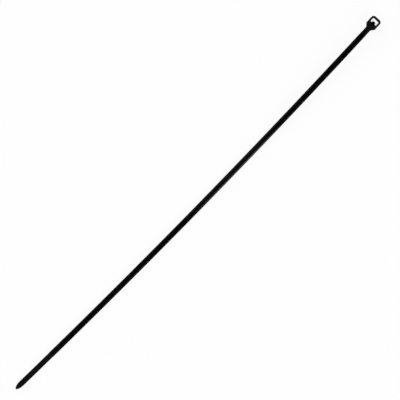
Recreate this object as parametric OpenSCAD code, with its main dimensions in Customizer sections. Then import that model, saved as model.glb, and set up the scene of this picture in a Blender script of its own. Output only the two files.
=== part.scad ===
// Cable tie: one moulding of black nylon with a locking head, a ratchet strap and a smooth tail.
// It lies with its toothed face up, as it comes to rest: the head stands on its exit face and the
// strap sinks to the table behind it. X runs along the head, tail towards -X, and Z is up.
// The origin is the middle of the head's slot, in the plane of the exit face.

/* [Strap] */
// Length of the strap, from the end of the head's root to the tip of the tail
strap_l = 304; // [80:1:360]
// Width of the strap over its two rails
strap_w = 3.6; // [3.3:0.05:4]
// Thickness of the strap at its rails
strap_t = 1.4; // [1.15:0.05:1.7]
// Width of the strap where it meets the head
neck_w = 3.45; // [3:0.05:3.8]
// Length over which the neck widens into the strap
neck_l = 8; // [2:0.5:20]
// Radius of the strap's edges on its smooth face
smooth_edge_r = 0.35; // [0.1:0.05:0.5]
// Bevel of the strap's edges on its toothed face
rail_bevel = 0.15; // [0.05:0.05:0.3]
// Sideways bow of the strap's middle off a straight line
bow = 2.25; // [0.5:0.05:8]
// Distance from the head at which the strap comes to lie on the table
touch_down = 155; // [60:5:300]

/* [Ratchet] */
// Width of the toothed track between the rails, at its mouth
track_w = 1.9; // [1.7:0.05:2.4]
// Lean of each side wall of the track, from mouth to floor
track_lean = 0.25; // [0.05:0.05:0.35]
// Depth of the track below the rails
track_d = 0.55; // [0.35:0.05:0.65]
// How far the tips of the teeth stay below the rails
tooth_sink = 0.05; // [0.02:0.01:0.15]
// Distance from one tooth to the next
tooth_pitch = 1.15; // [0.9:0.05:1.6]
// Flat land along the tip of a tooth
tooth_land = 0.15; // [0.05:0.05:0.3]
// Bare strap between the head and the first tooth
first_tooth = 1.5; // [1.5:0.5:12]

/* [Tail] */
// Length of the smooth tail
tail_l = 28.5; // [15:0.5:50]
// Width of the tail
tail_w = 3.45; // [2.8:0.05:3.6]
// Thickness of the tail
tail_t = 1.1; // [0.8:0.05:1.3]
// Length of the pointed tip
tip_l = 4.7; // [3:0.1:9]
// Thickness of the tail at its very tip
tip_t = 0.7; // [0.4:0.05:0.8]

/* [Head] */
// Width of the head over its side walls
head_w = 6.9; // [6.4:0.05:8]
// Height of the head, from its exit face to its entry face
head_h = 4.8; // [4:0.1:5.6]
// Length of the head's straight part, from its shoulders to its far end
head_l = 6.4; // [6.2:0.05:8]
// Length of the sloping shoulders between the root and the head
shoulder_l = 1.95; // [1:0.05:3]
// Length of the root, which holds the end of the strap
root_l = 1; // [0.8:0.05:2]
// Radius where the root runs into the shoulders
root_r = 1; // [0.2:0.05:1.2]
// Radius of the shoulders' outer corners
shoulder_r = 0.7; // [0.2:0.05:1]
// Radius of the far corners, seen from above
corner_r = 1.85; // [0.3:0.05:2.3]
// Radius of the head's edges around its exit face
exit_edge_r = 0.5; // [0.2:0.05:0.6]
// Radius of the head's edges around its entry face
entry_edge_r = 0.25; // [0.1:0.05:0.35]
// Length of the exit face behind the slot
heel_l = 2; // [1.6:0.05:2.2]

/* [Slot] */
// Length of the slot, along the strap
slot_l = 2.55; // [2.3:0.05:3]
// Width of the slot, across the strap
slot_w = 4.25; // [4:0.05:4.6]
// Radius of the slot's corners
slot_r = 0.4; // [0.1:0.05:0.6]
// Wall beyond the slot, at the far end of the head
far_wall = 1.5; // [1.2:0.05:2.2]
// Bevel that leads the tail into the slot, at its sides and far end
lead_in = 0.3; // [0.1:0.05:0.45]
// Length of the ramp that leads down onto the pawl
ramp_l = 1.2; // [0.8:0.05:1.5]
// Depth of that ramp
ramp_d = 1.45; // [1:0.05:1.8]

/* [Pawl] */
// Width of the pawl
pawl_w = 2.3; // [1.8:0.05:2.6]
// Gap between the tip of the pawl at rest and the far wall of the slot
pawl_gap = 1.28; // [1:0.02:1.5]
// Height of the pawl's tip above the exit face
pawl_tip_z = 0.75; // [0.5:0.05:1.2]
// Lean of the pawl off the direction of the slot, in degrees
pawl_lean = 14; // [8:1:20]
// Thickness of the pawl behind its teeth
pawl_t = 0.6; // [0.5:0.05:0.8]
// Depth of the pawl's teeth
pawl_tooth_d = 0.4; // [0.2:0.05:0.5]
// Bevel of the pawl's edges beside its teeth
pawl_bevel = 0.4; // [0.1:0.05:0.45]
// Depth of the room behind the pawl, from the slot towards the strap
pocket_l = 0.85; // [0.6:0.05:1.1]
// Height of that room above the exit face
pocket_h = 3; // [2.4:0.05:3.2]

/* [Hidden] */
// Amount by which a cut passes through a face, and by which a joined shape is sunk in
over = 0.1;
// Step of the head's root around the strap, and the length of strap inside the root
root_step = 0.03;
root_in = 0.6;
// Length over which the track runs out at each end of the teeth, and the rails at the tail
fade_l = 1.2;
// Greatest length of one straight piece of the curved strap
piece_l = 10;
// Straight pieces in a rounded corner, and in the outline of the tip
corner_n = 5;
tip_n = 10;
// Form of the tip's outline: 1 is a parabola, 2 a half ellipse
tip_power = 1.7;
// Length by which that outline is cut short, which leaves the very tip blunt
tip_blunt = 0.03;

far_x = slot_l / 2 + far_wall;
shoulder_x = far_x - head_l;
neck_x = shoulder_x - shoulder_l;
root_x = neck_x - root_l;
root_w = neck_w + 2 * root_step;
root_t = strap_t + 2 * root_step;
root_z = head_h - root_t;
slot_back_x = -slot_l / 2;
heel_x = slot_back_x - heel_l;
bow_r = (strap_l * strap_l / 4 + bow * bow) / (2 * bow);
strap_drop = head_h - root_step - strap_t;
track_start = first_tooth - fade_l;
track_end = strap_l - tail_l;
tooth_n = floor((track_end - fade_l - first_tooth) / tooth_pitch);
tooth_h = track_d - tooth_sink;
pawl_x = slot_l / 2 - pawl_gap;

function unit(v) = v / norm(v);
// Steps smoothly from 0 to 1 as x runs from a to b
function ease(a, b, x) = let (u = max(0, min(1, (x - a) / (b - a)))) u * u * (3 - 2 * u);
function mix(a, b, u) = a + (b - a) * u;

// One corner b of an outline, between a and c, rounded to radius r
function corner(a, b, c, r) =
    let (
        u = unit(a - b),
        v = unit(c - b),
        half = acos(u * v) / 2,
        centre = b + unit(u + v) * r / sin(half),
        start = b + u * r / tan(half) - centre,
        end = b + v * r / tan(half) - centre
    )
    r == 0 ? [b] : [for (k = [0:corner_n]) centre + r * unit(mix(start, end, k / corner_n))];

// An outline of points [x, y, corner radius]
function rounded(path) = [
    for (i = [0:len(path) - 1])
        let (a = path[(i + len(path) - 1) % len(path)], b = path[i], c = path[(i + 1) % len(path)])
            each corner([a.x, a.y], [b.x, b.y], [c.x, c.y], b.z)
];

// Height of the strap's smooth face above the table: a heavy strip laid down from the head
function rest_z(s) = let (u = max(0, min(1, s / touch_down))) strap_drop * pow(1 - u, 3) * (1 + 3 * u);
function rest_slope(s) = let (u = max(0, min(1, s / touch_down))) -12 * strap_drop / touch_down * u * pow(1 - u, 2);

// How far the strap has turned at a distance s from the head, in degrees, and its middle there
function turn(s) = s / bow_r * 180 / PI;
function path(s) = [root_x - bow_r * sin(turn(s)), bow_r * (1 - cos(turn(s))), rest_z(s)];

// How far the strap has become the tail, and how far the track has opened
function tailed(s) = ease(track_end - fade_l, track_end, s);
function opened(s) = ease(track_start, first_tooth, s) * (1 - tailed(s));

// Half width and thickness of the strap at a distance s from the head
function tip_share(s) =
    let (left = max(0, strap_l - s))
        left >= tip_l ? 1 : sqrt(1 - pow(1 - (left + tip_blunt) / (tip_l + tip_blunt), tip_power));
function body_w(s) = mix(mix(neck_w, strap_w, ease(0, neck_l, s)), tail_w, tailed(s));
function half_w(s) = body_w(s) / 2 * tip_share(s);
function thick(s) = mix(mix(strap_t, tail_t, tailed(s)), tip_t, ease(strap_l - tip_l, strap_l, s));

// Right half of the strap's section at s, from the middle of the smooth face up and around
function half_section(s) =
    let (
        hw = half_w(s),
        t = thick(s),
        share = tip_share(s),
        r = smooth_edge_r * share,
        bevel = rail_bevel * share,
        mouth = track_w / 2 * share,
        foot = (track_w / 2 - track_lean) * share
    ) [
        [hw - r, 0],
        [hw - r * (1 - sin(45)), r * (1 - cos(45))],
        [hw, r],
        [hw, t - bevel],
        [hw - bevel, t],
        [mouth, t],
        [foot, t - track_d * opened(s)]
    ];
function section(s) =
    let (right = half_section(s))
        concat(right, [for (i = [len(right) - 1:-1:0]) [-right[i].x, right[i].y]]);

// Section points in space: across the strap, and straight up
function ring(s) = [
    for (p = section(s)) path(s) + [p.x * sin(turn(s)), p.x * cos(turn(s)), p.y]
];
// Distances from the head at which the strap's section is drawn
function steps(a, b, d) = let (n = ceil((b - a) / d)) [for (i = [0:n - 1]) mix(a, b, i / n)];
function stations() = concat(
    [-root_in],
    steps(0, track_start, neck_l / 4),
    steps(track_start, first_tooth, fade_l / 3),
    steps(first_tooth, max(neck_l, first_tooth + 1), neck_l / 4),
    steps(max(neck_l, first_tooth + 1), track_end - fade_l, piece_l),
    steps(track_end - fade_l, track_end, fade_l / 3),
    steps(track_end, strap_l - tip_l, piece_l),
    [for (i = [0:tip_n]) strap_l - tip_l * (1 - sin(90 * i / tip_n))]
);

// A closed skin over rings of points, all with the same number of points
module skin(rings) {
    m = len(rings[0]);
    n = len(rings);
    sides = [
        for (i = [0:n - 2])
            for (j = [0:m - 1])
                let (k = (j + 1) % m)
                    [i * m + j, i * m + k, (i + 1) * m + k, (i + 1) * m + j]
    ];
    ends = [[for (j = [m - 1:-1:0]) j], [for (j = [0:m - 1]) (n - 1) * m + j]];
    polyhedron([for (r = rings) each r], concat(sides, ends));
}

// The strap and tail: one section drawn along the path
module ribbon() {
    skin([for (s = stations()) ring(s)]);
}

// One ratchet tooth: it stands square towards the head and slopes away towards the tail
module tooth() {
    profile = [
        [0, -over],
        [0, tooth_h],
        [-tooth_land, tooth_h],
        [-tooth_pitch + over, 0],
        [-tooth_pitch + over, -over]
    ];
    rotate([90, 0, 0])
        linear_extrude(track_w - track_lean * tooth_sink / track_d, center = true)
            polygon(profile);
}

// The row of teeth along the floor of the track
module teeth() {
    for (i = [0:tooth_n - 1]) {
        s = first_tooth + i * tooth_pitch;
        translate(path(s) + [0, 0, strap_t - track_d])
            rotate([0, 0, -turn(s)])
                rotate([0, atan(rest_slope(s)), 0])
                    tooth();
    }
}

// The head's outline at a height z, drawn in by an amount i, as if it ran on over the shoulders
function head_ring(z, i) = [
    for (p = rounded([
        [far_x - i, i - head_w / 2, corner_r - i],
        [root_x - over, i - head_w / 2, 0],
        [root_x - over, head_w / 2 - i, 0],
        [far_x - i, head_w / 2 - i, corner_r - i]
    ])) [p.x, p.y, z]
];

// Straight walls whose edges are rounded around the exit face and the entry face
module head_walls() {
    turns = [for (k = [0:corner_n]) 90 * k / corner_n];
    skin(concat(
        [for (a = turns) head_ring(exit_edge_r * (1 - cos(a)), exit_edge_r * (1 - sin(a)))],
        [for (a = turns) head_ring(head_h - entry_edge_r * (1 - sin(a)), entry_edge_r * (1 - cos(a)))]
    ));
}

// Outer form of the head: its walls, cut to the outlines of its shoulders from above and the side
module head_block() {
    above = [
        [root_x, -root_w / 2, 0],
        [neck_x, -root_w / 2, root_r],
        [shoulder_x, -head_w / 2, shoulder_r],
        [far_x, -head_w / 2, 0],
        [far_x, head_w / 2, 0],
        [shoulder_x, head_w / 2, shoulder_r],
        [neck_x, root_w / 2, root_r],
        [root_x, root_w / 2, 0]
    ];
    side = [
        [root_x, root_z, 0],
        [neck_x, root_z, root_r],
        [heel_x, 0, exit_edge_r],
        [far_x, 0, 0],
        [far_x, head_h, 0],
        [root_x, head_h, 0]
    ];
    intersection() {
        head_walls();
        linear_extrude(head_h) polygon(rounded(above));
        rotate([90, 0, 0]) linear_extrude(head_w + over, center = true) polygon(rounded(side));
    }
}

// What is open in the head: the slot, the bevels and ramp that lead into it, the room for the pawl
module head_opening() {
    slot = [
        [slot_back_x, -slot_w / 2, slot_r],
        [slot_l / 2, -slot_w / 2, slot_r],
        [slot_l / 2, slot_w / 2, slot_r],
        [slot_back_x, slot_w / 2, slot_r]
    ];
    ramp = ramp_d / ramp_l;
    lead_along = [
        [slot_back_x, head_h - ramp_d],
        [slot_l / 2, head_h - lead_in],
        [slot_l / 2 + lead_in + over, head_h + over],
        [slot_back_x - ramp_l - over / ramp, head_h + over]
    ];
    lead_across = [
        [-slot_w / 2 + lead_in, 0],
        [slot_w / 2 - lead_in, 0],
        [slot_w / 2 - lead_in, head_h - 2 * lead_in],
        [slot_w / 2 + lead_in + over, head_h + over],
        [-slot_w / 2 - lead_in - over, head_h + over],
        [-slot_w / 2 + lead_in, head_h - 2 * lead_in]
    ];
    translate([0, 0, -over]) linear_extrude(head_h + 2 * over) polygon(rounded(slot));
    intersection() {
        rotate([90, 0, 0]) linear_extrude(head_w, center = true) polygon(lead_along);
        translate([root_x, 0, 0]) rotate([90, 0, 90])
            linear_extrude(far_x - root_x) polygon(lead_across);
    }
    translate([slot_back_x - pocket_l, -slot_w / 2, -over])
        cube([pocket_l + slot_r, slot_w, pocket_h + over]);
}

// The locking pawl: it hangs from the ramp and leans across the slot, its teeth towards the strap
module pawl() {
    // Points along the pawl, up from its tip, and out from the line of its teeth
    lean = [-sin(pawl_lean), cos(pawl_lean)];
    out = [cos(pawl_lean), sin(pawl_lean)];
    tip = [pawl_x, pawl_tip_z];
    neck = slot_back_x - pocket_l + over;
    back = -pawl_tooth_d - pawl_t;
    profile = concat(
        [for (p = [
            [over, back],
            [0, back + over],
            [0, 0],
            [tooth_pitch, -pawl_tooth_d],
            [tooth_pitch, 0],
            [2 * tooth_pitch, -pawl_tooth_d]
        ]) tip + p.x * lean + p.y * out],
        [
            [slot_back_x - over / 4, head_h - ramp_d - over],
            [neck, head_h - ramp_d + ramp_l / 2],
            [neck, pocket_h + over],
            [neck + over, pocket_h]
        ]
    );
    bevelled = [
        [-head_l, -pawl_w / 2],
        [-pawl_bevel, -pawl_w / 2],
        [0, -pawl_w / 2 + pawl_bevel],
        [0, pawl_w / 2 - pawl_bevel],
        [-pawl_bevel, pawl_w / 2],
        [-head_l, pawl_w / 2]
    ];
    intersection() {
        rotate([90, 0, 0]) linear_extrude(pawl_w, center = true) polygon(profile);
        translate([pawl_x, 0, pawl_tip_z]) rotate([0, -pawl_lean, 0])
            linear_extrude(3 * head_h, center = true) polygon(bevelled);
    }
}

module cable_tie() {
    color("#17181a") {
        difference() {
            head_block();
            head_opening();
        }
        pawl();
        ribbon();
        teeth();
    }
}

cable_tie();
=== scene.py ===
import math

import bmesh
import bpy
from mathutils import Matrix, Vector


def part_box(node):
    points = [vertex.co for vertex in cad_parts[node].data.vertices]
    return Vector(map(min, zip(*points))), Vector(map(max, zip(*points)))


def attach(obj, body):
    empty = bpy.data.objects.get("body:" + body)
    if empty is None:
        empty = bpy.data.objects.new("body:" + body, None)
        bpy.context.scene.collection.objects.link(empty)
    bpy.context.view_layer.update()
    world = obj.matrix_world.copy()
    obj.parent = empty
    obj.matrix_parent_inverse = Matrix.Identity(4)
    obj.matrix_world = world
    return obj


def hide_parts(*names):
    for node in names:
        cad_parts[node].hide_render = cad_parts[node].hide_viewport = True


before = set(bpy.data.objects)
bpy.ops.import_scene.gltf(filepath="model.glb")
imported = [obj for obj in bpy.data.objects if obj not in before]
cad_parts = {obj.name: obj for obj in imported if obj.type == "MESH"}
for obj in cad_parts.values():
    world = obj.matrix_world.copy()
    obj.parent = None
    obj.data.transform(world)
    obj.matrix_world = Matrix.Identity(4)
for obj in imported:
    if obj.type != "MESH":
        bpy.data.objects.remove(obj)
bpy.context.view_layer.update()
TIE_LOW, TIE_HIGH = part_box("cable_tie")

bl_info = {
    "name": "Cable Tie",
    "version": (1, 0, 0),
    "blender": (4, 5, 0),
    "location": "3D View > Sidebar > Cable Tie",
    "description": "Builds a moulded nylon cable tie and the studio it is shown in",
    "category": "Add Mesh",
}

# Fixed measures in millimetres. The meshes are worked out in millimetres and brought to metres
# at the end.
MM = 1000.0
OVER = 0.1  # how far a cut passes through a face
HOLD = 0.03  # distance of the row of points beside an edge, which keeps the edge crisp
MOUTH_EDGE = 0.035  # how far the edges of the track's mouth are broken
TOOTH_EDGE = 0.05  # how far the edges of a tooth are broken
TOOTH_GAP = 0.02  # between the foot of a tooth and the next tooth
TOOTH_FOOT = 0.07  # height at which the slope of a tooth turns down to its foot
TIP_BLUNT = 0.03  # what the tip's outline is cut short by
TURNING_MATT = 9, 1  # distances before the track's end between which the skin turns matt

TIP_CURVE = 1.7  # form of the tip's outline: 1 is a parabola and 2 an ellipse
ENOUGH_FACES = 1000  # a head with fewer has gone wrong

PHOTO_PIXELS = 400  # across the photograph
SENSOR_MM = 36.0
FLOOR_REACH = 12.0  # from the floor's middle to its sides, in metres
EVEN_WHITE = 0.88  # share of even white in the paper that is seen


# Sizes and colours that a user would change


def length(name, description, default):
    return bpy.props.FloatProperty(
        name=name, description=description, default=default, precision=5, unit="LENGTH"
    )


def hex_to_linear(code):
    """The linear colour of an sRGB hex value such as 1a2b3c."""
    out = []
    for k in (0, 2, 4):
        c = int(code[k : k + 2], 16) / 255
        out.append(c / 12.92 if c <= 0.04045 else ((c + 0.055) / 1.055) ** 2.4)
    return (*out, 1.0)


def colour(name, description, code):
    return bpy.props.FloatVectorProperty(
        name=name,
        description=description,
        default=hex_to_linear(code),
        size=4,
        min=0,
        max=1,
        subtype="COLOR",
    )


class TieStrapSizes(bpy.types.PropertyGroup):
    strap_length: length("Length", "From the head's root to the tip of the tail", 0.304)
    width: length("Width", "Over the two rails", 0.0036)
    thickness: length("Thickness", "At the rails", 0.0014)
    neck_width: length("Neck width", "Where the strap meets the head", 0.00345)
    neck_length: length("Neck length", "Over which the neck widens into the strap", 0.008)
    edge_radius: length("Edge radius", "Of the edges on the smooth face", 0.00035)
    rail_radius: length("Rail radius", "Of the rails' outer edges", 0.00008)
    crown: length("Crown", "Fall of the rails' tops towards their outer edges", 0.000006)
    bow: length("Bow", "Sideways, of the strap's middle off a straight line", 0.00225)
    touch_down: length("Touch-down", "Where the strap comes to lie on the table", 0.155)
    track_width: length("Track width", "Between the rails, at the track's mouth", 0.0019)
    track_lean: length("Track lean", "Of each side wall of the track", 0.00025)
    track_depth: length("Track depth", "Below the rails", 0.00055)
    tail_length: length("Tail length", "Smooth end without teeth", 0.0285)
    tail_width: length("Tail width", "Across the smooth end", 0.00345)
    tail_thickness: length("Tail thickness", "Of the smooth end", 0.0011)
    tip_length: length("Tip length", "Of the pointed end", 0.0047)
    tip_thickness: length("Tip thickness", "At the very tip", 0.0007)


class TieToothSizes(bpy.types.PropertyGroup):
    first: length("First tooth", "Distance from the head to the first tooth", 0.0015)
    pitch: length("Pitch", "From one tooth to the next", 0.00115)
    sink: length("Sink", "Of the teeth's tips below the rails", 0.00005)
    land: length("Land", "Flat along the tip of a tooth", 0.00015)
    fade: length("Fade", "Over which the track runs out at each end", 0.0012)


class TieHeadSizes(bpy.types.PropertyGroup):
    width: length("Width", "Over the side walls", -2 * TIE_LOW.y)
    height: length("Height", "From exit face to entry face", TIE_HIGH.z)
    body_length: length("Body length", "Straight part, shoulders to far end", 0.0064)
    shoulder: length("Shoulder", "Length of the sloping shoulders", 0.00195)
    root: length("Root", "Length of the root, which holds the strap", 0.001)
    root_step: length("Root step", "Of the root around the strap", 0.00003)
    heel: length("Heel", "Length of the exit face behind the slot", 0.002)
    corner: length("Corner radius", "Of the far corners, seen from above", 0.00185)
    root_radius: length("Root radius", "Where the root runs into the shoulders", 0.001)
    shoulder_radius: length("Shoulder radius", "Of the shoulders' outer corners", 0.0007)
    exit_radius: length("Exit edge radius", "Of the edges around the exit face", 0.0005)
    entry_radius: length("Entry edge radius", "Of the edges around the entry face", 0.00025)
    slot_length: length("Slot length", "Along the strap", 0.00255)
    slot_width: length("Slot width", "Across the strap", 0.00425)
    slot_radius: length("Slot radius", "Of the slot's corners", 0.0004)
    lead_in: length("Lead-in", "Bevel that leads the tail into the slot", 0.0003)
    ramp_length: length("Ramp length", "Of the ramp down onto the pawl", 0.0012)
    ramp_depth: length("Ramp depth", "Of that ramp", 0.00145)
    pawl_width: length("Pawl width", "Of the locking tongue", 0.0023)
    pawl_gap: length("Pawl gap", "From the tongue's tip to the far wall", 0.00128)
    pawl_tip: length("Pawl tip height", "Above the exit face", 0.00075)
    pawl_thickness: length("Pawl thickness", "Behind its teeth", 0.0006)
    pawl_tooth: length("Pawl tooth depth", "Of the teeth on the tongue", 0.0004)
    pawl_bevel: length("Pawl bevel", "Of the tongue's edges", 0.0004)
    pocket_length: length("Pocket length", "Of the room behind the tongue", 0.00085)
    pocket_height: length("Pocket height", "Of that room", 0.003)
    pawl_lean: bpy.props.FloatProperty(
        name="Pawl lean",
        description="Of the tongue off the slot's direction",
        default=math.radians(14),
        subtype="ANGLE",
    )
    grain: length("Mesh grain", "Of the head's mesh, which rounds its edges", 0.00009)


class TieFinish(bpy.types.PropertyGroup):
    matt_black: colour("Matt black", "Nylon on the eroded faces", "060606")
    matt_deep: colour("Matt black, deeper", "Its slightly darker clouds", "040404")
    polished_black: colour("Polished black", "Nylon on the polished faces", "040404")
    floor_white: colour("Floor", "Of the table that the tie lies on", "f6f6f6")


class StudioSettings(bpy.types.PropertyGroup):
    pixel: length("Size of a pixel", "In the photograph, at the strap", 0.000605)
    lens: bpy.props.FloatProperty(
        name="Lens", description="Focal length", default=1000, unit="CAMERA"
    )
    bearing: bpy.props.FloatProperty(
        name="Bearing",
        description="Turn of the head's axis up from the photograph's level",
        default=math.radians(47.32),
        subtype="ANGLE",
    )
    slot_right: bpy.props.FloatProperty(
        name="Slot right", description="Of the photograph's middle, in pixels", default=174.52
    )
    slot_up: bpy.props.FloatProperty(
        name="Slot up", description="Of the photograph's middle, in pixels", default=178.18
    )


def own_names(group):
    """The names of a group's own settings."""
    return [k for k in group.bl_rna.properties.keys() if k not in ("rna_type", "name")]


def in_mm(group):
    """A group's lengths by name, in millimetres."""
    settings = group.bl_rna.properties
    return {k: getattr(group, k) * MM for k in own_names(group) if settings[k].unit == "LENGTH"}


# Nylon

# Where a Mix node keeps its sockets
FACTOR, NUMBER_A, NUMBER_B, COLOUR_A, COLOUR_B = 0, 2, 3, 6, 7
NUMBER_OUT, COLOUR_OUT = 0, 2


def node(tree, kind, inputs=None, **settings):
    """Add one node with its own settings. An input is a value, or a socket that is linked to it."""
    made = tree.nodes.new(kind)
    for key, value in settings.items():
        setattr(made, key, value)
    for key, value in (inputs or {}).items():
        if isinstance(value, bpy.types.NodeSocket):
            tree.links.new(value, made.inputs[key])
        else:
            made.inputs[key].default_value = value
    return made


def black_nylon(finish):
    """Injection-moulded polyamide 66, coloured black. Where the steel of the mould was polished, on
    the strap, its teeth and the inside of the head, the skin is nearly a mirror: deep black until a
    lamp stands in its reflection. Where it was spark-eroded, on the outside of the head and on the
    tail, fine round pits spread every reflection into one even dark grey, a little cloudy where the
    skin cooled unevenly. The attribute eroded says which: 0 is polished and 1 is eroded."""
    made = bpy.data.materials.new("nylon_66_black")
    made.use_nodes = True
    tree = made.node_tree
    tree.nodes.clear()
    place = node(tree, "ShaderNodeTexCoord").outputs["Object"]
    matt = node(tree, "ShaderNodeAttribute", attribute_name="eroded").outputs["Fac"]
    # pits of about 0.12 mm, coarser than the real 0.03 mm so that they show in a close view, and
    # clouds of about 3 mm
    pits = node(tree, "ShaderNodeTexNoise", {"Vector": place, "Scale": 8000.0, "Detail": 2.0})
    clouds = node(tree, "ShaderNodeTexNoise", {"Vector": place, "Scale": 330.0, "Detail": 3.0})
    # flow lines run with the strap, about 8 mm long and 0.4 mm across
    flow = node(tree, "ShaderNodeMapping", {"Vector": place, "Scale": (120.0, 2500.0, 2500.0)})
    lines = node(
        tree,
        "ShaderNodeTexNoise",
        {"Vector": flow.outputs["Vector"], "Scale": 1.0, "Detail": 2.0},
    )
    cloudy = node(
        tree,
        "ShaderNodeMix",
        {
            FACTOR: clouds.outputs["Fac"],
            COLOUR_A: tuple(finish.matt_deep),
            COLOUR_B: tuple(finish.matt_black),
        },
        data_type="RGBA",
    )
    tint = node(
        tree,
        "ShaderNodeMix",
        {
            FACTOR: matt,
            COLOUR_A: tuple(finish.polished_black),
            COLOUR_B: cloudy.outputs[COLOUR_OUT],
        },
        data_type="RGBA",
    )
    noise_span = {"From Min": 0.3, "From Max": 0.7}
    gloss = node(
        tree,
        "ShaderNodeMapRange",
        {"Value": lines.outputs["Fac"], **noise_span, "To Min": 0.06, "To Max": 0.09},
    )
    dull = node(
        tree,
        "ShaderNodeMapRange",
        {"Value": clouds.outputs["Fac"], **noise_span, "To Min": 0.35, "To Max": 0.41},
    )
    rough = node(
        tree,
        "ShaderNodeMix",
        {FACTOR: matt, NUMBER_A: gloss.outputs["Result"], NUMBER_B: dull.outputs["Result"]},
    )
    height = node(tree, "ShaderNodeMath", {0: pits.outputs["Fac"], 1: matt}, operation="MULTIPLY")
    bump = node(
        tree,
        "ShaderNodeBump",
        {"Height": height.outputs["Value"], "Strength": 0.5, "Distance": 0.00002},
    )
    shader = node(
        tree,
        "ShaderNodeBsdfPrincipled",
        {
            "IOR": 1.53,
            "Base Color": tint.outputs[COLOUR_OUT],
            "Roughness": rough.outputs[NUMBER_OUT],
            "Normal": bump.outputs["Normal"],
        },
    )
    node(tree, "ShaderNodeOutputMaterial", {"Surface": shader.outputs["BSDF"]})
    return made


def nylon(scene):
    """The tie's one material, made the first time that it is asked for."""
    return bpy.data.materials.get("nylon_66_black") or black_nylon(scene.tie_finish)


# Meshes, in millimetres


def quarter_turn(steps):
    """Angles from 0 to 90 degrees in even steps."""
    return [math.pi / 2 * k / steps for k in range(steps + 1)]


def rounded(path, pieces=8):
    """An outline of points (x, y, corner radius) with its corners rounded."""
    out = []
    for i, (bx, by, r) in enumerate(path):
        a, c = path[i - 1], path[(i + 1) % len(path)]
        b = Vector((bx, by))
        if r == 0:
            out.append(tuple(b))
            continue
        u = (Vector(a[:2]) - b).normalized()
        v = (Vector(c[:2]) - b).normalized()
        half = math.acos(max(-1.0, min(1.0, u.dot(v)))) / 2
        centre = b + (u + v).normalized() * r / math.sin(half)
        start = (b + u * r / math.tan(half)) - centre
        end = (b + v * r / math.tan(half)) - centre
        for k in range(pieces + 1):
            out.append(tuple(centre + start.lerp(end, k / pieces).normalized() * r))
    return out


def skinned(name, rings):
    """A closed mesh over rings of points, all with the same number of points."""
    m, n = len(rings[0]), len(rings)
    faces = [
        (i * m + j, i * m + (j + 1) % m, (i + 1) * m + (j + 1) % m, (i + 1) * m + j)
        for i in range(n - 1)
        for j in range(m)
    ]
    faces += [tuple(range(m - 1, -1, -1)), tuple(range((n - 1) * m, n * m))]
    mesh = bpy.data.meshes.new(name)
    mesh.from_pydata([v for ring in rings for v in ring], [], faces)
    made = bpy.data.objects.new(name, mesh)
    bpy.context.scene.collection.objects.link(made)
    outward(mesh)
    return made


def prism(name, outline, low, high, to_space):
    """A closed prism over an outline of (u, v), from low to high. to_space gives each point
    (u, v, w) its place."""
    return skinned(name, [[to_space(u, v, w) for u, v in outline] for w in (low, high)])


def outward(mesh):
    """Merge doubles and turn every face outwards."""
    bm = bmesh.new()
    bm.from_mesh(mesh)
    bmesh.ops.remove_doubles(bm, verts=bm.verts, dist=1e-6)
    bmesh.ops.recalc_face_normals(bm, faces=bm.faces)
    bm.to_mesh(mesh)
    bm.free()


# The place of a prism's point, for an outline that is seen from above, the side or the front


def from_above(x, y, z):
    return (x, y, z)


def from_side(x, z, y):
    return (x, y, z)


def from_front(y, z, x):
    return (x, y, z)


def smooth(mesh):
    """Shade every face of the mesh smoothly."""
    for face in mesh.polygons:
        face.use_smooth = True


def give_skin(mesh, values):
    """Write how eroded the skin is at each point of the mesh: 0 is polished, 1 is matt."""
    mesh.attributes.new("eroded", "FLOAT", "POINT").data.foreach_set("value", values)


def combine(base, other, operation):
    """Apply a boolean of other on base, and remove other."""
    cut = base.modifiers.new("cut", "BOOLEAN")
    cut.operation, cut.solver, cut.object = operation, "EXACT", other
    bake(base)
    bpy.data.objects.remove(other, do_unlink=True)


def bake(obj):
    """Turn the object's modified mesh into its own mesh, and drop the modifiers."""
    view = bpy.context.evaluated_depsgraph_get()
    view.update()
    mesh = bpy.data.meshes.new_from_object(
        obj.evaluated_get(view), preserve_all_data_layers=True, depsgraph=view
    )
    obj.modifiers.clear()
    old, obj.data = obj.data, mesh
    if old.users == 0:
        bpy.data.meshes.remove(old)
    mesh.name = obj.name


def to_metres(obj):
    """Bring a piece that was made in millimetres to metres."""
    obj.data.transform(Matrix.Scale(1 / MM, 4))


def joined(obj):
    """Let the piece ride on the tie's one body."""
    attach(obj, "root")


# Head


def head_places(scene):
    """The head's sizes in millimetres, and the places that follow from them."""
    p, strap = in_mm(scene.tie_head), in_mm(scene.tie_strap)
    p["far"] = TIE_HIGH.x * MM
    p["shoulder_x"] = p["far"] - p["body_length"]
    p["neck_x"] = p["shoulder_x"] - p["shoulder"]
    p["root_x"] = p["neck_x"] - p["root"]
    p["root_width"] = strap["neck_width"] + 2 * p["root_step"]
    p["root_z"] = p["height"] - strap["thickness"] - 2 * p["root_step"]
    p["slot_back"] = -p["slot_length"] / 2
    p["heel_x"] = p["slot_back"] - p["heel"]
    p["drop"] = p["height"] - p["root_step"] - strap["thickness"]
    return p


def head_ring(p, z, inset):
    """The head's outline at a height z, drawn in by inset, as if it ran on over the shoulders."""
    far, half, r = p["far"] - inset, p["width"] / 2 - inset, p["corner"] - inset
    back = p["root_x"] - OVER
    outline = rounded([(far, -half, r), (back, -half, 0), (back, half, 0), (far, half, r)])
    return [(x, y, z) for x, y in outline]


def head_walls(p):
    """Straight walls whose edges are rounded around the exit face and the entry face."""
    low, high, top = p["exit_radius"], p["entry_radius"], p["height"]
    turns = quarter_turn(8)
    rings = [head_ring(p, low * (1 - math.cos(a)), low * (1 - math.sin(a))) for a in turns]
    rings += [
        head_ring(p, top - high * (1 - math.sin(a)), high * (1 - math.cos(a))) for a in turns
    ]
    return skinned("head", rings)


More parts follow.
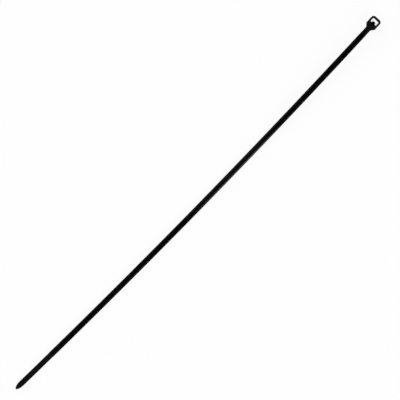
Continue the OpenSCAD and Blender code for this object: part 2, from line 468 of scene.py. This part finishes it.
def head_body(p):
    """The head's outer form: its walls, cut to its shoulders' outlines from above and the side."""
    top, half, root = p["height"], p["width"] / 2, p["root_width"] / 2
    above = [
        (p["root_x"], -root, 0),
        (p["neck_x"], -root, p["root_radius"]),
        (p["shoulder_x"], -half, p["shoulder_radius"]),
        (p["far"] + OVER, -half, 0),
        (p["far"] + OVER, half, 0),
        (p["shoulder_x"], half, p["shoulder_radius"]),
        (p["neck_x"], root, p["root_radius"]),
        (p["root_x"], root, 0),
    ]
    side = [
        (p["root_x"], p["root_z"], 0),
        (p["neck_x"], p["root_z"], p["root_radius"]),
        (p["heel_x"], 0, p["exit_radius"]),
        (p["far"] + OVER, 0, 0),
        (p["far"] + OVER, top + OVER, 0),
        (p["root_x"], top + OVER, 0),
    ]
    body = head_walls(p)
    combine(body, prism("above", rounded(above), -OVER, top + OVER, from_above), "INTERSECT")
    combine(body, prism("side", rounded(side), -half - OVER, half + OVER, from_side), "INTERSECT")
    return body


def head_slot(p, body):
    """Cut the slot, the bevels and the ramp that lead into it, and the room behind the pawl."""
    half_l, half_w, r = p["slot_length"] / 2, p["slot_width"] / 2, p["slot_radius"]
    top, lead = p["height"], p["lead_in"]
    slot = [(-half_l, -half_w, r), (half_l, -half_w, r), (half_l, half_w, r), (-half_l, half_w, r)]
    steep = p["ramp_depth"] / p["ramp_length"]
    along = [
        (-half_l, top - p["ramp_depth"]),
        (half_l, top - lead),
        (half_l + lead + OVER, top + OVER),
        (-half_l - p["ramp_length"] - OVER / steep, top + OVER),
    ]
    across = [
        (-half_w + lead, 0),
        (half_w - lead, 0),
        (half_w - lead, top - 2 * lead),
        (half_w + lead + OVER, top + OVER),
        (-half_w - lead - OVER, top + OVER),
        (-half_w + lead, top - 2 * lead),
    ]
    wide = half_w + 1  # past the bevels, which the second outline gives
    mouth = prism("mouth", along, -wide, wide, from_side)
    combine(mouth, prism("mouth_front", across, p["root_x"], p["far"], from_front), "INTERSECT")
    back, front = p["slot_back"] - p["pocket_length"], p["slot_back"] + r
    room = [(back, -half_w), (front, -half_w), (front, half_w), (back, half_w)]
    combine(body, prism("slot", rounded(slot), -OVER, top + OVER, from_above), "DIFFERENCE")
    combine(body, mouth, "DIFFERENCE")
    combine(body, prism("room", room, -OVER, p["pocket_height"], from_above), "DIFFERENCE")


def head_pawl(p, lean, pitch):
    """The locking tongue: it hangs from the ramp and leans across the slot, its teeth to the
    strap."""
    up = Vector((-math.sin(lean), math.cos(lean)))
    out = Vector((math.cos(lean), math.sin(lean)))
    tip = Vector((p["slot_length"] / 2 - p["pawl_gap"], p["pawl_tip"]))
    tooth, back = p["pawl_tooth"], -p["pawl_tooth"] - p["pawl_thickness"]
    neck = p["slot_back"] - p["pocket_length"] + OVER
    shelf = p["height"] - p["ramp_depth"]
    profile = [
        tuple(tip + up * a + out * b)
        for a, b in [
            (OVER, back),
            (0, back + OVER),
            (0, 0),
            (pitch, -tooth),
            (pitch, 0),
            (2 * pitch, -tooth),
        ]
    ] + [
        (p["slot_back"] - OVER / 4, shelf - OVER),
        (neck - 2 * OVER, shelf + p["ramp_length"] / 2),
        (neck - 2 * OVER, p["pocket_height"] + OVER),
        (neck + OVER, p["pocket_height"]),
    ]
    half, bevel = p["pawl_width"] / 2, p["pawl_bevel"]
    deep, tall = 6, 12  # past the back and the ends of the profile
    outline = [
        (-deep, -half),
        (-bevel, -half),
        (0, -half + bevel),
        (0, half - bevel),
        (-bevel, half),
        (-deep, half),
    ]

    def leaning(x, y, z):
        place = tip + out * x + up * z
        return (place.x, y, place.y)

    pawl = prism("pawl", profile, -half - OVER, half + OVER, from_side)
    combine(pawl, prism("pawl_plan", outline, -tall, tall, leaning), "INTERSECT")
    return pawl


def outside(p, x, y, z):
    """1 on the head's eroded outside, 0 on the polished walls of its slot, ramp and pawl."""
    back = p["slot_back"] - p["pocket_length"]
    shelf = p["height"] - p["ramp_depth"]
    if z > shelf:
        back = p["slot_back"] - p["ramp_length"] * (z - shelf) / p["ramp_depth"]
    lead = max(0.0, z - p["height"] + 2 * p["lead_in"]) / 2
    far = p["slot_length"] / 2 + lead
    side = p["slot_width"] / 2 + lead
    return 0.0 if back - OVER < x < far + OVER and abs(y) < side + OVER else 1.0


class TIE_OT_head(bpy.types.Operator):
    """Build the locking head with its slot and pawl"""

    bl_idname = "tie.head"
    bl_label = "Head"

    def execute(self, context):
        scene = context.scene
        p = head_places(scene)
        head = head_body(p)
        head_slot(p, head)
        pawl = head_pawl(p, scene.tie_head.pawl_lean, scene.tie_teeth.pitch * MM)
        combine(head, pawl, "UNION")
        # one skin over head and pawl, whose edges come out as softly as a mould's do
        skin = head.modifiers.new("skin", "REMESH")
        skin.mode, skin.voxel_size, skin.use_smooth_shade = "VOXEL", p["grain"], True
        soft = head.modifiers.new("soft", "SMOOTH")
        soft.factor, soft.iterations = 0.5, 3
        bake(head)
        if len(head.data.polygons) < ENOUGH_FACES:
            raise RuntimeError("the head came out empty")
        give_skin(head.data, [outside(p, *v.co) for v in head.data.vertices])
        smooth(head.data)
        to_metres(head)
        head.data.materials.clear()
        head.data.materials.append(nylon(scene))
        joined(head)
        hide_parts("cable_tie")
        return {"FINISHED"}


# Strap and teeth


def ease(a, b, x):
    """0 up to a, 1 from b on, and a smooth rise between them."""
    u = max(0.0, min(1.0, (x - a) / (b - a)))
    return u * u * (3 - 2 * u)


def mix(a, b, u):
    """a where u is 0, b where it is 1, and in proportion between them."""
    return a + (b - a) * u


def strap_places(scene):
    """The sizes of the strap and its teeth in millimetres, and the places that follow from them."""
    p = in_mm(scene.tie_strap) | in_mm(scene.tie_teeth)
    p["track_end"] = p["strap_length"] - p["tail_length"]
    p["track_start"] = p["first"] - p["fade"]
    head = head_places(scene)
    p["root_x"], p["drop"] = head["root_x"], head["drop"]
    return p


def strap_section(p, s):
    """Points (y, z) of the strap's section at a distance s from the head, around from the smooth
    face."""
    left = max(0.0, p["strap_length"] - s)
    share = 1.0  # of the full width
    if left < p["tip_length"]:
        cut = 1 - (left + TIP_BLUNT) / (p["tip_length"] + TIP_BLUNT)
        share = math.sqrt(1 - cut**TIP_CURVE)
    tailed = ease(p["track_end"] - p["fade"], p["track_end"], s)
    opened = ease(p["track_start"], p["first"], s) * (1 - tailed)
    tip = ease(p["strap_length"] - p["tip_length"], p["strap_length"], s)
    width = mix(p["neck_width"], p["width"], ease(0, p["neck_length"], s))
    width = mix(width, p["tail_width"], tailed)
    top = mix(mix(p["thickness"], p["tail_thickness"], tailed), p["tip_thickness"], tip)
    half, r, b = width / 2 * share, p["edge_radius"] * share, p["rail_radius"] * share
    mouth = p["track_width"] / 2 * share
    foot = (p["track_width"] / 2 - p["track_lean"]) * share
    soft, hold = MOUTH_EDGE * share, HOLD * share
    floor = top - p["track_depth"] * opened
    edge = top - p["crown"] * (1 - tailed) * share
    turns = quarter_turn(4)
    right = [(half - r - hold, 0)]
    right += [(half - r + r * math.sin(a), r - r * math.cos(a)) for a in turns]
    right += [(half, (r + edge - b) / 2)]
    right += [(half - b + b * math.cos(a), edge - b + b * math.sin(a)) for a in turns]
    right += [
        (half - b - hold, mix(edge, top, hold / (half - mouth))),
        (mouth + soft + hold, top),
        (mouth + soft, top),
        (mouth + soft * 0.3, top - min(soft * 0.3, top - floor)),
        (mouth - soft * 0.1, top - min(soft, top - floor)),
        (mix(foot, mouth, 0.2), mix(floor, top, 0.2)),
        (foot, floor),
        (foot - 2 * hold, floor),
    ]
    return right + [(-y, z) for y, z in reversed(right)]


def strap_skin(p, mesh):
    """Polished on the strap and matt on the tail: the skin passes over along the last teeth."""
    start, end = (p["track_end"] - before for before in TURNING_MATT)
    give_skin(mesh, [ease(start, end, p["root_x"] - v.co.x * MM) for v in mesh.vertices])


def strap_stations(p):
    """Distances from the head at which the strap has a section. The first two are in the root."""

    def run(a, b, step):
        n = max(1, math.ceil((b - a) / step))
        return [mix(a, b, k / n) for k in range(n)]

    bare = p["track_end"] - p["fade"]
    matt = bare - 8  # just before the skin begins to turn matt
    tip = p["strap_length"] - p["tip_length"]
    return (
        [-0.6, -0.1]
        + run(0, p["track_start"], step=0.3)
        + run(p["track_start"], p["first"], step=0.2)
        + run(p["first"], p["neck_length"], step=1.0)
        + run(p["neck_length"], matt, step=4.0)
        + run(matt, bare, step=1.0)
        + run(bare, p["track_end"], step=0.15)
        + run(p["track_end"], tip, step=3.0)
        + [tip + p["tip_length"] * math.sin(a) for a in quarter_turn(14)]
    )


def laid_row():
    """Geometry Nodes: copies of the piece in a row along the strap, laid on the strap's own line,
    which bows sideways and sinks from the head to the table as a heavy strip does."""
    tree = bpy.data.node_groups.new("laid_row", "GeometryNodeTree")
    face = tree.interface
    face.new_socket("Piece", in_out="INPUT", socket_type="NodeSocketGeometry")
    face.new_socket("Count", in_out="INPUT", socket_type="NodeSocketInt")
    for name in ("Pitch", "Root", "Radius", "Drop", "Touch down"):
        face.new_socket(name, in_out="INPUT", socket_type="NodeSocketFloat")
    face.new_socket("Nylon", in_out="INPUT", socket_type="NodeSocketMaterial")
    face.new_socket("Row", in_out="OUTPUT", socket_type="NodeSocketGeometry")

    def math_(operation, *values):
        inputs = dict(enumerate(values))
        return node(tree, "ShaderNodeMath", inputs, operation=operation).outputs["Value"]

    given = node(tree, "NodeGroupInput").outputs
    step = node(tree, "ShaderNodeCombineXYZ", {"X": math_("MULTIPLY", given["Pitch"], -1.0)})
    line = node(
        tree,
        "GeometryNodeMeshLine",
        {"Count": given["Count"], "Offset": step.outputs["Vector"]},
        mode="OFFSET",
    )
    copies = node(
        tree,
        "GeometryNodeInstanceOnPoints",
        {"Points": line.outputs["Mesh"], "Instance": given["Piece"]},
    )
    row = node(tree, "GeometryNodeRealizeInstances", {"Geometry": copies.outputs["Instances"]})
    place = node(tree, "GeometryNodeInputPosition").outputs["Position"]
    at = node(tree, "ShaderNodeSeparateXYZ", {"Vector": place}).outputs
    along = math_("SUBTRACT", given["Root"], at["X"])
    angle = math_("DIVIDE", along, given["Radius"])
    sine, cosine = math_("SINE", angle), math_("COSINE", angle)
    # x = root - R sin a + y sin a, and y = y cos a + 2 R sin²(a / 2)
    reach = math_("MULTIPLY", math_("SUBTRACT", given["Radius"], at["Y"]), sine)
    x = math_("SUBTRACT", given["Root"], reach)
    half = math_("SINE", math_("MULTIPLY", angle, 0.5))
    twice = math_("MULTIPLY", given["Radius"], 2.0)
    aside = math_("MULTIPLY", math_("MULTIPLY", half, half), twice)
    y = math_("ADD", math_("MULTIPLY", at["Y"], cosine), aside)
    # z falls by drop (1 - (1 - u)³ (1 + 3 u)), where u is the share of the way to touch-down
    u = math_("MAXIMUM", math_("MINIMUM", math_("DIVIDE", along, given["Touch down"]), 1.0), 0.0)
    rest = math_("POWER", math_("SUBTRACT", 1.0, u), 3.0)
    share = math_("MULTIPLY", rest, math_("MULTIPLY_ADD", u, 3.0, 1.0))
    fall = math_("MULTIPLY", given["Drop"], math_("SUBTRACT", 1.0, share))
    z = math_("SUBTRACT", at["Z"], fall)
    laid = node(tree, "ShaderNodeCombineXYZ", {"X": x, "Y": y, "Z": z}).outputs["Vector"]
    bent = node(
        tree,
        "GeometryNodeSetPosition",
        {"Geometry": row.outputs["Geometry"], "Position": laid},
    )
    one = node(tree, "GeometryNodeRealizeInstances", {"Geometry": bent.outputs["Geometry"]})
    clad = node(
        tree,
        "GeometryNodeSetMaterial",
        {"Geometry": one.outputs["Geometry"], "Material": given["Nylon"]},
    )
    node(tree, "NodeGroupOutput", {"Row": clad.outputs["Geometry"]})
    return tree


def lay(obj, p, count, pitch, material):
    """Lay a straight piece, or a row of it, on the strap's line, and give it its material."""
    tree = bpy.data.node_groups.get("laid_row") or laid_row()
    lie = obj.modifiers.new("lie", "NODES")
    lie.node_group = tree
    radius = (p["strap_length"] ** 2 / 4 + p["bow"] ** 2) / (2 * p["bow"])
    values = {
        "Count": count,
        "Pitch": pitch / MM,
        "Root": p["root_x"] / MM,
        "Radius": radius / MM,
        "Drop": p["drop"] / MM,
        "Touch down": p["touch_down"] / MM,
        "Nylon": material,
    }
    for item in tree.interface.items_tree:
        if item.item_type == "SOCKET" and item.in_out == "INPUT" and item.name in values:
            lie[item.identifier] = values[item.name]
    bake(obj)


class TIE_OT_strap(bpy.types.Operator):
    """Build the strap with its rails and track, and the smooth pointed tail"""

    bl_idname = "tie.strap"
    bl_label = "Strap and tail"

    def execute(self, context):
        scene = context.scene
        p = strap_places(scene)
        rings = [
            [(p["root_x"] - s, y, p["drop"] + z) for y, z in strap_section(p, s)]
            for s in strap_stations(p)
        ]
        strap = skinned("strap", rings)
        smooth(strap.data)
        strap.data.set_sharp_from_angle(angle=math.radians(40))
        to_metres(strap)
        lay(strap, p, 1, 0, nylon(scene))
        strap_skin(p, strap.data)
        joined(strap)
        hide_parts("cable_tie")
        return {"FINISHED"}


class TIE_OT_teeth(bpy.types.Operator):
    """Build the row of ratchet teeth along the strap's track"""

    bl_idname = "tie.teeth"
    bl_label = "Ratchet teeth"

    def execute(self, context):
        scene = context.scene
        p = strap_places(scene)
        count = int((p["track_end"] - p["fade"] - p["first"]) / p["pitch"])
        depth, pitch, land = p["track_depth"] - p["sink"], p["pitch"], p["land"]
        half = (p["track_width"] - p["track_lean"] * p["sink"] / p["track_depth"]) / 2
        # square towards the head, sloping to the tail, its edges just broken
        profile = [
            (0, -OVER),
            (0, depth - TOOTH_EDGE),
            (-0.6 * TOOTH_EDGE, depth - 0.2 * TOOTH_EDGE),
            (-1.2 * TOOTH_EDGE, depth),
            (-land, depth),
            (-land - TOOTH_EDGE, depth - 0.4 * TOOTH_EDGE),
            (-pitch + 2 * OVER, TOOTH_FOOT),
            (-pitch + TOOTH_GAP, 0),
            (-pitch + TOOTH_GAP, -OVER),
        ]
        base = p["drop"] + p["thickness"] - p["track_depth"]
        start = p["root_x"] - p["first"]
        teeth = prism("teeth", profile, -half, half, lambda x, z, y: (start + x, y, base + z))
        to_metres(teeth)
        lay(teeth, p, count, pitch, nylon(scene))
        strap_skin(p, teeth.data)
        joined(teeth)
        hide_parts("cable_tie")
        return {"FINISHED"}


# Studio


def softbox(name, place, aim, size, radiance, seen=True):
    """A rectangular lamp of the given radiance that faces aim. Unless it is seen, it is left out of
    the reflections."""
    light = bpy.data.lights.new(name, "AREA")
    light.shape, light.size, light.size_y = "RECTANGLE", size[0], size[1]
    light.energy = radiance * math.pi * size[0] * size[1]
    made = bpy.data.objects.new(name, light)
    bpy.context.scene.collection.objects.link(made)
    made.location = place
    made.rotation_euler = (Vector(aim) - Vector(place)).to_track_quat("-Z", "Y").to_euler()
    made.visible_camera = False
    made.visible_glossy = seen
    return made


class TIE_OT_studio(bpy.types.Operator):
    """Set up the pale floor, the soft light and the photograph's camera"""

    bl_idname = "tie.studio"
    bl_label = "Studio"

    def execute(self, context):
        scene = context.scene
        middle = self.camera(scene)
        self.floor(scene)
        self.lamps(middle)
        self.room(scene)
        scene.view_settings.view_transform = "Standard"
        return {"FINISHED"}

    def camera(self, scene):
        """Straight above the tie, turned so that the head points up to the right. Returns the point
        of the table in the photograph's middle."""
        s = scene.tie_studio
        cos, sin = math.cos(s.bearing), math.sin(s.bearing)
        right, up = -s.slot_right * s.pixel, -s.slot_up * s.pixel
        middle = Vector((cos * right + sin * up, -sin * right + cos * up, 0.0))
        lens = bpy.data.cameras.new("camera")
        lens.lens, lens.sensor_width = s.lens, SENSOR_MM
        eye = bpy.data.objects.new("camera", lens)
        scene.collection.objects.link(eye)
        above = PHOTO_PIXELS * s.pixel * s.lens / SENSOR_MM
        eye.location = middle + Vector((0, 0, scene.tie_strap.thickness + above))
        eye.rotation_euler = (0, 0, -s.bearing)
        lens.clip_end = 100
        scene.camera = eye
        return middle

    def floor(self, scene):
        """White paper. What is seen of it is mostly even white, and the rest keeps the shadow."""
        mesh = bpy.data.meshes.new("floor")
        r = FLOOR_REACH
        mesh.from_pydata([(-r, -r, 0), (r, -r, 0), (r, r, 0), (-r, r, 0)], [], [(0, 1, 2, 3)])
        floor = bpy.data.objects.new("floor", mesh)
        scene.collection.objects.link(floor)
        made = bpy.data.materials.new("white_paper")
        made.use_nodes = True
        tree = made.node_tree
        tree.nodes.clear()
        paper = node(tree, "ShaderNodeBsdfDiffuse", {"Color": tuple(scene.tie_finish.floor_white)})
        white = node(tree, "ShaderNodeEmission", {"Strength": 1.0})
        path = node(tree, "ShaderNodeLightPath").outputs
        seen = path["Is Camera Ray"]
        for ray in ("Is Glossy Ray", "Is Transmission Ray"):
            seen = node(tree, "ShaderNodeMath", {0: seen, 1: path[ray]}, operation="MAXIMUM")
            seen = seen.outputs["Value"]
        share = node(tree, "ShaderNodeMath", {0: seen, 1: EVEN_WHITE}, operation="MULTIPLY")
        both = node(
            tree,
            "ShaderNodeMixShader",
            {0: share.outputs["Value"], 1: paper.outputs["BSDF"], 2: white.outputs["Emission"]},
        )
        node(tree, "ShaderNodeOutputMaterial", {"Surface": both.outputs["Shader"]})
        mesh.materials.append(made)

    def lamps(self, middle):
        """A softbox at each side, a broad lamp overhead, which is left out of the reflections as a
        polariser leaves it out, and one narrow lamp, mirrored in the middle of the strap."""
        for k, y in enumerate((-1.35, 1.35)):
            place = middle + Vector((0, y, 0.8))
            softbox(f"softbox_{k + 1}", place, middle, size=(2.4, 0.9), radiance=2.2)
        over = middle + Vector((0, 0, 2.5))
        softbox("overhead", over, middle, size=(2.0, 2.0), radiance=2.8, seen=False)
        over = Vector((-0.1345, -0.01375, 0.45))
        softbox("strip", over, over - Vector((0, 0, 1)), size=(0.040, 0.0325), radiance=1.2)

    def room(self, scene):
        """A room that is white near the table's level and nearly dark from 20 degrees up."""
        world = bpy.data.worlds.new("room")
        scene.world = world
        world.use_nodes = True
        tree = world.node_tree
        tree.nodes.clear()
        way = node(tree, "ShaderNodeTexCoord").outputs["Generated"]
        height = node(tree, "ShaderNodeSeparateXYZ", {"Vector": way}).outputs["Z"]
        level = node(
            tree,
            "ShaderNodeMapRange",
            {"Value": height, "From Min": 0.12, "From Max": 0.35, "To Min": 1.0, "To Max": 0.01},
            interpolation_type="SMOOTHSTEP",
        )
        sky = node(tree, "ShaderNodeBackground", {"Strength": level.outputs["Result"]})
        node(tree, "ShaderNodeOutputWorld", {"Surface": sky.outputs["Background"]})


# Panel and registration


class TIE_PT_panel(bpy.types.Panel):
    bl_idname = "TIE_PT_panel"
    bl_label = "Cable Tie"
    bl_space_type = "VIEW_3D"
    bl_region_type = "UI"
    bl_category = "Cable Tie"

    def draw(self, context):
        for name in GROUPS:
            group = getattr(context.scene, name)
            box = self.layout.box()
            for key in own_names(group):
                box.prop(group, key)
        for operator in OPERATORS:
            self.layout.operator(operator.bl_idname)


GROUPS = {
    "tie_strap": TieStrapSizes,
    "tie_teeth": TieToothSizes,
    "tie_head": TieHeadSizes,
    "tie_finish": TieFinish,
    "tie_studio": StudioSettings,
}
OPERATORS = (TIE_OT_head, TIE_OT_strap, TIE_OT_teeth, TIE_OT_studio)


def register():
    for group in (*GROUPS.values(), *OPERATORS, TIE_PT_panel):
        bpy.utils.register_class(group)
    for name, group in GROUPS.items():
        setattr(bpy.types.Scene, name, bpy.props.PointerProperty(type=group))


def unregister():
    for name in GROUPS:
        delattr(bpy.types.Scene, name)
    for group in reversed((*GROUPS.values(), *OPERATORS, TIE_PT_panel)):
        bpy.utils.unregister_class(group)


def main():
    register()
    bpy.ops.tie.head()
    bpy.ops.tie.strap()
    bpy.ops.tie.teeth()
    bpy.ops.tie.studio()


if __name__ == "__main__":
    main()
